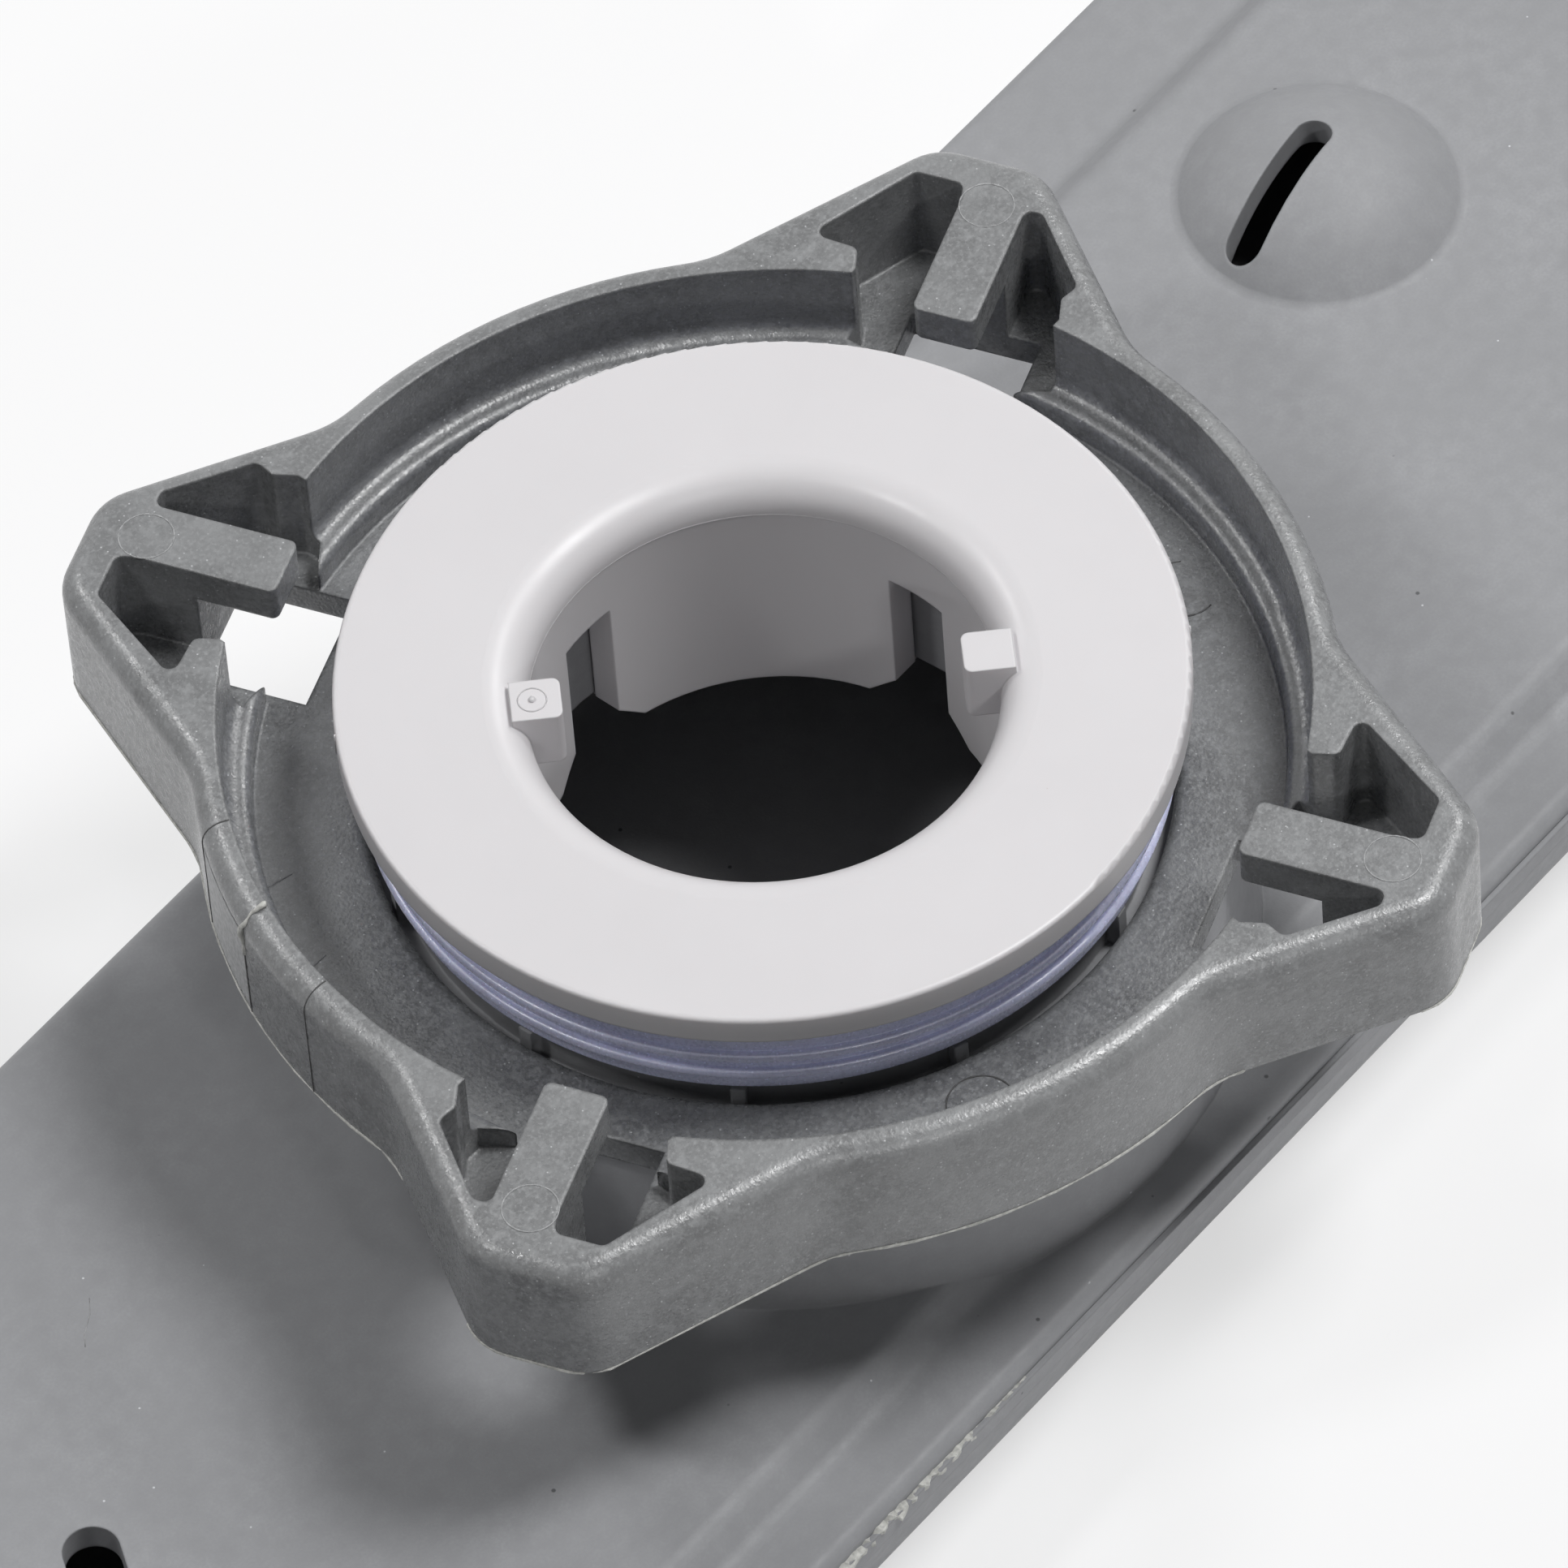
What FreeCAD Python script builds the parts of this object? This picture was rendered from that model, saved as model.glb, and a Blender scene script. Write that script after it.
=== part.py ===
import FreeCAD, Part
import Sketcher
import math
import os

# Dishwasher spray arm: two welded shells, a bearing bush clipped in the hub, a ribbed
# seal ring round the hub's neck and a four-lobed mounting collar that the arm turns in.
# +Z is up, away from the table, and the arm's length runs along X. The origin lies on
# the turning axis, on the plane that the lower shell rests on. Millimetres.

document = FreeCAD.newDocument("spray_arm")
sheet = document.addObject("Spreadsheet::Sheet", "Sizes")
row_count = 0


class Size:
    """A dimension that carries its number together with its formula."""

    def __init__(self, number, formula):
        self.number = float(number)
        self.formula = formula

    def __add__(self, other):
        other = as_size(other)
        return Size(self.number + other.number, "(%s + %s)" % (self.formula, other.formula))

    def __sub__(self, other):
        other = as_size(other)
        return Size(self.number - other.number, "(%s - %s)" % (self.formula, other.formula))

    def __mul__(self, other):
        other = as_size(other)
        return Size(self.number * other.number, "(%s * %s)" % (self.formula, other.formula))

    def __truediv__(self, other):
        other = as_size(other)
        return Size(self.number / other.number, "(%s / %s)" % (self.formula, other.formula))

    def __neg__(self):
        return Size(-self.number, "(0 - %s)" % self.formula)


def as_size(value):
    if isinstance(value, Size):
        return value
    return Size(value, repr(float(value)))


def size(name, number):
    """Write one driving dimension into the sheet and return it."""
    global row_count
    row_count += 1
    sheet.set("A%d" % row_count, name)
    sheet.set("B%d" % row_count, str(number))
    sheet.setAlias("B%d" % row_count, name)
    return Size(number, "Sizes." + name)


# Arm shells
arm_length = size("arm_length", 460.0)
arm_width = size("arm_width", 61.6)
arm_end_radius = size("arm_end_radius", 26.0)
shell_wall = size("shell_wall", 2.0)
weld_rim = size("weld_rim", 2.4)
lower_shell_depth = size("lower_shell_depth", 10.5)
lower_shell_draft = size("lower_shell_draft", 14.0)
lower_edge_radius = size("lower_edge_radius", 4.0)
lip_width = size("lip_width", 0.35)
lip_depth = size("lip_depth", 1.3)
band_rise = size("band_rise", 1.3)
band_edge_radius = size("band_edge_radius", 0.9)
plateau_rise = size("plateau_rise", 2.9)
plateau_near_inset = size("plateau_near_inset", 2.9)
plateau_far_inset = size("plateau_far_inset", 6.3)
plateau_end_inset = size("plateau_end_inset", 5.0)
plateau_draft = size("plateau_draft", 50.0)
plateau_soft_radius = size("plateau_soft_radius", 1.6)
plateau_foot_blend = size("plateau_foot_blend", 1.6)
shoulder_radius = size("shoulder_radius", 2.4)

# Hub of the arm
boss_rise = size("boss_rise", 14.9)
boss_inset = size("boss_inset", 2.4)
boss_taper = size("boss_taper", 1.4)
boss_edge_radius = size("boss_edge_radius", 1.0)
pilot_radius = size("pilot_radius", 22.6)
pilot_rise = size("pilot_rise", 3.3)
rib_count = size("rib_count", 11)
rib_width = size("rib_width", 0.9)
rib_drop = size("rib_drop", 0.5)
rib_turn = size("rib_turn", 18.5)
neck_rise = size("neck_rise", 6.3)
neck_wall = size("neck_wall", 3.0)
neck_skirt = size("neck_skirt", 2.6)

# Nozzles
dome_radius = size("dome_radius", 8.8)
dome_rise = size("dome_rise", 4.2)
dome_foot_blend = size("dome_foot_blend", 0.7)
jet_length = size("jet_length", 10.2)
jet_width = size("jet_width", 2.3)
jet_turn = size("jet_turn", 6.0)
jet_setback = size("jet_setback", 2.9)
jet_side = size("jet_side", 0.7)
dome_reach = size("dome_reach", 62.5)
dome_side = size("dome_side", 8.9)
dome_pitch = size("dome_pitch", 56.0)
slot_reach = size("slot_reach", 61.2)
slot_side = size("slot_side", 0.2)
slot_length = size("slot_length", 10.0)
slot_width = size("slot_width", 3.4)
slot_turn = size("slot_turn", 55.0)

# Bearing bush
bore_radius = size("bore_radius", 13.8)
bush_wall = size("bush_wall", 1.8)
bush_gap = size("bush_gap", 0.3)
flange_radius = size("flange_radius", 25.0)
flange_thickness = size("flange_thickness", 2.0)
flange_edge_radius = size("flange_edge_radius", 0.3)
lead_in_radius = size("lead_in_radius", 2.5)
leg_slot_width = size("leg_slot_width", 4.0)
leg_slot_drop = size("leg_slot_drop", 4.6)
leg_chamfer = size("leg_chamfer", 1.8)
hook_reach = size("hook_reach", 0.9)
hook_gap = size("hook_gap", 0.2)
hook_flat = size("hook_flat", 0.5)
hook_taper = size("hook_taper", 1.1)
lug_reach = size("lug_reach", 2.1)
lug_width = size("lug_width", 2.9)
lug_height = size("lug_height", 4.2)
lug_corner_radius = size("lug_corner_radius", 0.5)
lug_turn = size("lug_turn", -45.0)

# Seal ring
seal_radius = size("seal_radius", 24.0)
seal_gap = size("seal_gap", 0.1)
seal_groove = size("seal_groove", 0.5)
seal_foot = size("seal_foot", 1.25)
seal_rib_width = size("seal_rib_width", 0.7)
seal_rib_pitch = size("seal_rib_pitch", 1.5)
seal_rib_radius = size("seal_rib_radius", 0.3)

# Mounting collar, whose local x runs along one of the four latch tongues
socket_radius = size("socket_radius", 31.9)
socket_depth = size("socket_depth", 7.3)
collar_wall = size("collar_wall", 1.75)
collar_floor = size("collar_floor", 2.0)
collar_edge_radius = size("collar_edge_radius", 1.5)
ledge_width = size("ledge_width", 1.6)
ledge_height = size("ledge_height", 1.8)
ledge_radius = size("ledge_radius", 0.6)
cove_radius = size("cove_radius", 0.8)
floor_rim_radius = size("floor_rim_radius", 0.8)
pilot_gap = size("pilot_gap", 0.3)
running_gap = size("running_gap", 0.3)
collar_turn = size("collar_turn", 19.3)
lobe_count = size("lobe_count", 4)
lobe_reach = size("lobe_reach", 42.6)
lobe_front_left = size("lobe_front_left", 4.7)
lobe_front_right = size("lobe_front_right", 2.3)
lobe_root_setback = size("lobe_root_setback", 3.9)
lobe_root_left = size("lobe_root_left", 16.6)
lobe_root_right = size("lobe_root_right", 14.8)
lobe_corner_radius = size("lobe_corner_radius", 3.6)
lobe_neck_radius = size("lobe_neck_radius", 7.0)
tongue_left = size("tongue_left", 1.6)
tongue_right = size("tongue_right", 2.3)
tongue_thickness = size("tongue_thickness", 2.9)
tongue_overhang = size("tongue_overhang", 2.0)
tongue_nose_radius = size("tongue_nose_radius", 0.4)
tongue_corner_radius = size("tongue_corner_radius", 0.5)
pocket_corner_radius = size("pocket_corner_radius", 0.6)
pocket_left_tip = size("pocket_left_tip", 9.3)
pocket_left_tip_reach = size("pocket_left_tip_reach", 1.5)
pocket_left_far = size("pocket_left_far", 4.9)
pocket_left_far_reach = size("pocket_left_far_reach", 7.9)
pocket_left_root = size("pocket_left_root", 1.9)
pocket_left_root_step = size("pocket_left_root_step", 1.2)
prong_side = size("prong_side", 6.2)
prong_reach = size("prong_reach", 1.3)
prong_hook = size("prong_hook", 0.4)
pocket_right_tip = size("pocket_right_tip", 7.2)
pocket_right_tip_reach = size("pocket_right_tip_reach", 2.5)
pocket_right_far = size("pocket_right_far", 3.4)
pocket_right_far_reach = size("pocket_right_far_reach", 7.1)
prong_right_side = size("prong_right_side", 6.6)
window_left = size("window_left", 3.7)
window_right = size("window_right", 4.4)
window_setback = size("window_setback", 4.2)
window_reach = size("window_reach", 3.1)

# Heights of the stack, from the table up
seam_level = lower_shell_depth
band_level = seam_level + band_rise
plateau_level = seam_level + plateau_rise
boss_level = seam_level + boss_rise
pilot_level = boss_level + pilot_rise
neck_level = pilot_level + neck_rise
skirt_level = boss_level - shell_wall - neck_skirt
leg_level = skirt_level - hook_gap - hook_flat - hook_taper
flange_level = neck_level + flange_thickness
collar_level = boss_level + running_gap
floor_level = collar_level + collar_floor
collar_top_level = floor_level + socket_depth

# Widths and radii that pieces share
plateau_width = arm_width - plateau_near_inset - plateau_far_inset
plateau_length = arm_length - plateau_end_inset * 2
plateau_shift = (plateau_near_inset - plateau_far_inset) / 2
boss_foot_radius = arm_width / 2 - boss_inset
boss_top_radius = boss_foot_radius - boss_taper
tube_radius = bore_radius + bush_wall
neck_bore_radius = tube_radius + bush_gap
neck_radius = neck_bore_radius + neck_wall
hole_radius = seal_radius - pilot_gap
rib_tip_radius = hole_radius - pilot_gap
document.recompute()


def arc_sine(value):
    return Size(math.degrees(math.asin(value.number)), "asin(%s)" % value.formula)


def bind(item, path, value):
    item.setExpression(path, as_size(value).formula)


def new_body(name):
    body = document.addObject("PartDesign::Body", name)
    body.Label = name
    return body


def origin_plane(body, role):
    for feature in body.Origin.OriginFeatures:
        if feature.Role == role:
            return feature
    raise ValueError(role)


def new_sketch(body, name, role="XY_Plane", level=0, place=(0, 0), turn=0):
    """Start a sketch on one of the body's own planes, lifted and turned by formulas."""
    sketch = body.newObject("Sketcher::SketchObject", name)
    sketch.AttachmentSupport = [(origin_plane(body, role), "")]
    sketch.MapMode = "FlatFace"
    where = [as_size(place[0]), as_size(place[1]), as_size(level)]
    turned = FreeCAD.Rotation(FreeCAD.Vector(0, 0, 1), as_size(turn).number)
    base = FreeCAD.Vector(where[0].number, where[1].number, where[2].number)
    sketch.AttachmentOffset = FreeCAD.Placement(base, turned)
    for axis, value in zip("xyz", where):
        bind(sketch, "AttachmentOffset.Base." + axis, value)
    if as_size(turn).number:
        bind(sketch, "AttachmentOffset.Rotation.Angle", turn)
    return sketch


def constrain(sketch, *terms):
    """Add one driven dimension to a sketch, its last term being the formula."""
    value = as_size(terms[-1])
    index = sketch.addConstraint(Sketcher.Constraint(*terms[:-1], value.number))
    bind(sketch, "Constraints[%d]" % index, value)


def unit(start, finish):
    away = finish - start
    return away / away.Length


def outline(body, name, corners, **where):
    """A closed outline through corners given as x and y, with a radius where one is round."""
    sketch = new_sketch(body, name, **where)
    count = len(corners)
    points = [FreeCAD.Vector(as_size(x).number, as_size(y).number, 0) for x, y, *_ in corners]
    bends = [add_bend(sketch, corners[index][2:], points[index - 1], points[index],
                      points[(index + 1) % count]) for index in range(count)]
    lines = []
    for index in range(count):
        start = bends[index]["leave"]
        finish = bends[(index + 1) % count]["enter"]
        lines.append(sketch.addGeometry(Part.LineSegment(start, finish), False))
    for index, (x, y, *_) in enumerate(corners):
        before, after, bend = lines[index - 1], lines[index], bends[index]
        if "arc" not in bend:
            sketch.addConstraint(Sketcher.Constraint("Coincident", before, 2, after, 1))
            place = after
        else:
            arc = bend["arc"]
            sketch.addConstraint(Sketcher.Constraint("Tangent", before, 2, arc, bend["first"]))
            sketch.addConstraint(Sketcher.Constraint("Tangent", after, 1, arc, 3 - bend["first"]))
            constrain(sketch, "Radius", arc, corners[index][2])
            place = sketch.addGeometry(Part.Point(points[index]), True)
            sketch.addConstraint(Sketcher.Constraint("PointOnObject", place, 1, before))
            sketch.addConstraint(Sketcher.Constraint("PointOnObject", place, 1, after))
        constrain(sketch, "DistanceX", -1, 1, place, 1, x)
        constrain(sketch, "DistanceY", -1, 1, place, 1, y)
    return sketch


def add_bend(sketch, radius, before, corner, after):
    """Add the arc of a round corner; a sharp corner is only its own point."""
    if not radius:
        return {"enter": corner, "leave": corner}
    radius = as_size(radius[0]).number
    back, ahead = unit(corner, before), unit(corner, after)
    half_angle = back.getAngle(ahead) / 2
    enter = corner + back * (radius / math.tan(half_angle))
    leave = corner + ahead * (radius / math.tan(half_angle))
    centre = corner + unit(FreeCAD.Vector(0, 0, 0), back + ahead) * (radius / math.sin(half_angle))
    leftward = back.cross(ahead).z < 0
    start, finish = (enter, leave) if leftward else (leave, enter)
    opening = math.atan2(start.y - centre.y, start.x - centre.x)
    closing = math.atan2(finish.y - centre.y, finish.x - centre.x)
    ring = Part.Circle(centre, FreeCAD.Vector(0, 0, 1), radius)
    arc = sketch.addGeometry(Part.ArcOfCircle(ring, opening, closing), False)
    return {"enter": enter, "leave": leave, "arc": arc, "first": 1 if leftward else 2}


def circle(body, name, radius, **where):
    sketch = new_sketch(body, name, **where)
    centre = FreeCAD.Vector(0, 0, 0)
    upward = FreeCAD.Vector(0, 0, 1)
    sketch.addGeometry(Part.Circle(centre, upward, as_size(radius).number), False)
    sketch.addConstraint(Sketcher.Constraint("Coincident", 0, 3, -1, 1))
    constrain(sketch, "Radius", 0, radius)
    return sketch


def rounded_rectangle(body, name, length, width, radius, shift=0, **where):
    """A rectangle with round corners, moved sideways by shift."""
    half_length = as_size(length) / 2
    low = as_size(shift) - as_size(width) / 2
    high = as_size(shift) + as_size(width) / 2
    return outline(body, name, [
        (-half_length, low, radius),
        (half_length, low, radius),
        (half_length, high, radius),
        (-half_length, high, radius),
    ], **where)


def slot(body, name, length, width, **where):
    """A straight slot with round ends, about the sketch's own origin."""
    sketch = new_sketch(body, name, **where)
    radius = as_size(width) / 2
    reach = as_size(length) / 2 - radius
    upward = FreeCAD.Vector(0, 0, 1)
    quarter = math.pi / 2
    for side in (1, -1):
        start = FreeCAD.Vector(-side * reach.number, -side * radius.number, 0)
        finish = FreeCAD.Vector(side * reach.number, -side * radius.number, 0)
        sketch.addGeometry(Part.LineSegment(start, finish), False)
        end = Part.Circle(FreeCAD.Vector(side * reach.number, 0, 0), upward, radius.number)
        sketch.addGeometry(Part.ArcOfCircle(end, -side * quarter, -side * quarter + math.pi), False)
    for index in range(4):
        sketch.addConstraint(Sketcher.Constraint("Tangent", index, 2, (index + 1) % 4, 1))
    sketch.addConstraint(Sketcher.Constraint("Equal", 1, 3))
    sketch.addConstraint(Sketcher.Constraint("Horizontal", 0))
    constrain(sketch, "Radius", 1, radius)
    constrain(sketch, "DistanceX", -1, 1, 1, 3, reach)
    constrain(sketch, "DistanceY", -1, 1, 1, 3, 0)
    constrain(sketch, "DistanceX", -1, 1, 3, 3, -reach)
    return sketch


def settle(feature):
    """Work the document out and make sure that the new feature came out well."""
    document.recompute()
    if "Invalid" in feature.State or "Error" in feature.State:
        raise ValueError("%s fails: %s" % (feature.Name, feature.State))
    return feature


def extrude(body, kind, name, sketch, length, downward=False, draft=None, both_ways=False):
    feature = body.newObject("PartDesign::" + kind, name)
    feature.Profile = sketch
    feature.Type = 0
    if both_ways:
        feature.SideType = "Symmetric"
    feature.Length = as_size(length).number
    bind(feature, "Length", length)
    feature.Reversed = downward if kind == "Pad" else not downward
    if draft is not None:
        feature.TaperAngle = as_size(draft).number
        bind(feature, "TaperAngle", draft)
    return settle(feature)


def pad(body, name, sketch, length, **options):
    return extrude(body, "Pad", name, sketch, length, **options)


def pocket(body, name, sketch, length, **options):
    """Cut a sketch out of the body and make sure that it did cut."""
    before = body.Tip.Shape.Volume
    feature = extrude(body, "Pocket", name, sketch, length, **options)
    if feature.Shape.Volume > before - 1e-3:
        raise ValueError("%s cuts nothing" % name)
    return feature


def turned(body, kind, name, sketch):
    """Turn a profile, drawn as radius and height, once round the vertical axis."""
    feature = body.newObject("PartDesign::" + kind, name)
    feature.Profile = sketch
    feature.ReferenceAxis = (sketch, ["V_Axis"])
    feature.Angle = 360.0
    return settle(feature)


def turned_profile(body, name, points):
    return outline(body, name, points, role="XZ_Plane")


def around(body, name, features, count):
    """Repeat features evenly round the vertical axis."""
    pattern = body.newObject("PartDesign::PolarPattern", name)
    pattern.Originals = features
    pattern.Axis = (origin_axis(body), [""])
    pattern.Angle = 360
    pattern.Occurrences = int(as_size(count).number)
    bind(pattern, "Occurrences", count)
    body.Tip = pattern
    return settle(pattern)


def origin_axis(body):
    for feature in body.Origin.OriginFeatures:
        if feature.Role == "Z_Axis":
            return feature
    raise ValueError("Z_Axis")


def round_edges(body, name, radius, wanted):
    """Round every edge of the body so far that the test accepts."""
    base = body.Tip
    names = []
    for index, edge in enumerate(base.Shape.Edges):
        if not edge.Degenerated and wanted(edge):
            names.append("Edge%d" % (index + 1))
    if not names:
        raise ValueError("%s finds no edge" % name)
    fillet = body.newObject("PartDesign::Fillet", name)
    fillet.Base = (base, names)
    fillet.Radius = as_size(radius).number
    bind(fillet, "Radius", radius)
    return settle(fillet)


def is_level(edge, level):
    box = edge.BoundBox
    near = 0.01
    return abs(box.ZMin - level.number) < near and abs(box.ZMax - level.number) < near


def is_far(edge, side):
    """A straight edge that runs along the arm at a distance to its far side."""
    box = edge.BoundBox
    return abs(box.YMin - side.number) < 0.01 and abs(box.YMax - side.number) < 0.01


def is_ring(edge, radius, level):
    """A circle, or a piece of one, about the vertical axis."""
    if not isinstance(edge.Curve, Part.Circle) or not is_level(edge, level):
        return False
    centre = edge.Curve.Center
    near = 0.02
    central = math.hypot(centre.x, centre.y) < near
    return central and abs(edge.Curve.Radius - as_size(radius).number) < near


def make_arm_lower_shell():
    """Shallow tray with drafted sides, a soft lower edge and a thin lip at the weld."""
    body = new_body("arm_lower_shell")
    tray = rounded_rectangle(body, "tray_outline", arm_length, arm_width, arm_end_radius,
                             level=seam_level)
    pad(body, "tray", tray, lower_shell_depth, downward=True, draft=-lower_shell_draft)
    round_edges(body, "tray_lower_edge", lower_edge_radius, lambda edge: is_level(edge, as_size(0)))
    lip_outline = rounded_rectangle(body, "lip_outline", arm_length + lip_width * 2,
                                    arm_width + lip_width * 2, arm_end_radius + lip_width,
                                    level=seam_level)
    pad(body, "lip", lip_outline, lip_depth, downward=True)
    cavity = rounded_rectangle(body, "cavity_outline", arm_length - weld_rim * 2,
                               arm_width - weld_rim * 2, arm_end_radius - weld_rim,
                               level=seam_level)
    cavity_depth = lower_shell_depth - shell_wall
    pocket(body, "cavity", cavity, cavity_depth, downward=True, draft=-lower_shell_draft)
    round_edges(body, "cavity_floor_edge", lower_edge_radius - shell_wall,
                lambda edge: is_level(edge, shell_wall))
    return body


def make_arm_upper_shell():
    """Cover with a flat outer band, a raised plateau, a hub boss and domed nozzles."""
    body = new_body("arm_upper_shell")
    band = rounded_rectangle(body, "band_outline", arm_length, arm_width, arm_end_radius,
                             level=seam_level)
    pad(body, "band", band, band_rise)
    round_edges(body, "band_soft_edge", band_edge_radius, lambda edge: is_level(edge, band_level))
    plateau = rounded_rectangle(body, "plateau_outline", plateau_length, plateau_width,
                                arm_end_radius - plateau_end_inset, shift=plateau_shift,
                                level=seam_level)
    pad(body, "plateau", plateau, plateau_rise, draft=-plateau_draft)
    round_edges(body, "plateau_shoulder", plateau_soft_radius,
                lambda edge: is_level(edge, plateau_level))
    half = plateau_length.number / 2
    round_edges(body, "plateau_foot", plateau_foot_blend,
                lambda edge: is_level(edge, band_level) and abs(edge.BoundBox.XMax) < half)
    shoulder_start = arm_end_radius - arm_length / 2
    fade = plateau_far_inset * 2
    shoulder = outline(body, "shoulder_outline", [
        (shoulder_start, 0),
        (0, 0),
        (0, arm_width / 2),
        (shoulder_start + fade, arm_width / 2),
        (shoulder_start, arm_width / 2 - fade),
    ], level=seam_level)
    pad(body, "shoulder", shoulder, plateau_rise)
    round_edges(body, "shoulder_soft_edge", shoulder_radius,
                lambda edge: is_level(edge, plateau_level) and is_far(edge, arm_width / 2))
    cavity = rounded_rectangle(body, "cavity_outline", plateau_length - weld_rim * 2,
                               plateau_width - weld_rim * 2,
                               arm_end_radius - plateau_end_inset - weld_rim,
                               shift=plateau_shift, level=seam_level)
    pocket(body, "cavity", cavity, plateau_rise - shell_wall, downward=False)
    add_nozzles(body)
    add_hub(body)
    return body


def add_hub(body):
    """The boss that carries the collar, its pilot ring and the neck for the bush."""
    skirt_radius = neck_bore_radius + shell_wall
    outside = turned_profile(body, "hub_profile", [
        (0, seam_level),
        (boss_foot_radius, seam_level),
        (boss_foot_radius, plateau_level),
        (boss_top_radius, boss_level),
        (pilot_radius, boss_level),
        (pilot_radius, pilot_level),
        (neck_radius, pilot_level),
        (neck_radius, neck_level),
        (0, neck_level),
    ])
    turned(body, "Revolution", "hub", outside)
    round_edges(body, "boss_edge", boss_edge_radius,
                lambda edge: is_ring(edge, boss_top_radius, boss_level))
    inside = turned_profile(body, "hub_cavity_profile", [
        (0, seam_level),
        (boss_foot_radius - shell_wall, seam_level),
        (boss_foot_radius - shell_wall, plateau_level - shell_wall),
        (boss_top_radius - shell_wall, boss_level - shell_wall),
        (skirt_radius, boss_level - shell_wall),
        (skirt_radius, skirt_level),
        (neck_bore_radius, skirt_level),
        (neck_bore_radius, neck_level),
        (0, neck_level),
    ])
    turned(body, "Groove", "hub_cavity", inside)
    rib_root = pilot_radius - shell_wall / 2
    rib_outline = outline(body, "rib_outline", [
        (rib_root, -rib_width / 2),
        (rib_tip_radius, -rib_width / 2),
        (rib_tip_radius, rib_width / 2),
        (rib_root, rib_width / 2),
    ], level=boss_level, turn=rib_turn)
    rib = pad(body, "rib", rib_outline, pilot_rise - rib_drop)
    around(body, "ribs", [rib], rib_count)


def dome_places():
    """Plan places of the domed nozzles, with 1 or -1 for the half of the arm they are on."""
    places = []
    for step in range(3):
        side = dome_side if step % 2 == 0 else -dome_side
        places.append((dome_reach + dome_pitch * step, side, 1))
    for step in range(1, 3):
        side = -dome_side if step % 2 == 0 else dome_side
        places.append((-dome_reach - dome_pitch * step, side, -1))
    return places


def add_nozzles(body):
    """Hollow domes with level spray slots, and one plain slot beside the hub."""
    ball = (dome_radius * dome_radius + dome_rise * dome_rise) / (dome_rise * 2)
    foot = arc_sine((ball - dome_rise - shell_wall / 2) / ball)
    centre_level = plateau_level + dome_rise - ball
    for index, (x, y, half) in enumerate(dome_places()):
        cap = body.newObject("PartDesign::AdditiveSphere", "dome_%d" % index)
        bind(cap, "Radius", ball)
        bind(cap, "Angle1", foot)
        set_place(cap, x, y, centre_level)
        settle(cap)
        round_edges(body, "dome_foot_%d" % index, dome_foot_blend,
                    lambda edge: is_dome_foot(edge, x, y))
        hollow = body.newObject("PartDesign::SubtractiveSphere", "dome_hollow_%d" % index)
        bind(hollow, "Radius", ball - shell_wall)
        set_place(hollow, x, y, centre_level)
        settle(hollow)
        jet_place = (x - jet_setback * half, y + jet_side * half)
        jet = slot(body, "jet_outline_%d" % index, jet_length, jet_width, place=jet_place,
                   turn=jet_turn, level=plateau_level + dome_rise)
        pocket(body, "jet_%d" % index, jet, dome_rise + shell_wall + shell_wall, downward=True)
    plain = slot(body, "plain_slot_outline", slot_length, slot_width, turn=slot_turn,
                 place=(-slot_reach, slot_side), level=plateau_level)
    pocket(body, "plain_slot", plain, shell_wall + shell_wall, downward=True)


def is_dome_foot(edge, x, y):
    if not isinstance(edge.Curve, Part.Circle) or not is_level(edge, plateau_level):
        return False
    centre = edge.Curve.Center
    return math.hypot(centre.x - x.number, centre.y - y.number) < 0.05


def set_place(item, x, y, z):
    where = [as_size(x), as_size(y), as_size(z)]
    for axis, value in zip("xyz", where):
        bind(item, "Placement.Base." + axis, value)


def make_bearing_bush():
    """Flanged tube with four snap legs and two keys that reach into its bore."""
    body = new_body("bearing_bush")
    hook_level = skirt_level - hook_gap
    hook_radius = tube_radius + hook_reach
    profile = turned_profile(body, "bush_profile", [
        (bore_radius, leg_level),
        (tube_radius, leg_level),
        (hook_radius, leg_level + hook_taper),
        (hook_radius, hook_level),
        (tube_radius, hook_level),
        (tube_radius, neck_level),
        (flange_radius, neck_level),
        (flange_radius, flange_level),
        (bore_radius, flange_level),
    ])
    turned(body, "Revolution", "bush", profile)
    round_edges(body, "lead_in", lead_in_radius,
                lambda edge: is_ring(edge, bore_radius, flange_level))
    round_edges(body, "flange_edge", flange_edge_radius,
                lambda edge: is_ring(edge, flange_radius, flange_level))
    half = leg_slot_width / 2
    for role in ("XZ_Plane", "YZ_Plane"):
        leg_slots = outline(body, "leg_slot_outline_" + role[:2], [
            (-half - leg_chamfer, leg_level),
            (half + leg_chamfer, leg_level),
            (half, leg_level + leg_chamfer),
            (half, neck_level - leg_slot_drop),
            (-half, neck_level - leg_slot_drop),
            (-half, leg_level + leg_chamfer),
        ], role=role)
        pocket(body, "leg_slots_" + role[:2], leg_slots, hook_radius * 2 + hook_gap, both_ways=True)
    lug_tip = bore_radius - lug_reach
    lug_root = bore_radius + bush_wall / 2
    lug_outline = outline(body, "lug_outline", [
        (lug_tip, -lug_width / 2, lug_corner_radius),
        (lug_root, -lug_width / 2),
        (lug_root, lug_width / 2),
        (lug_tip, lug_width / 2, lug_corner_radius),
    ], level=flange_level, turn=lug_turn)
    lug = pad(body, "lug", lug_outline, lug_height, downward=True)
    around(body, "lugs", [lug], 2)
    return body


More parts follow.
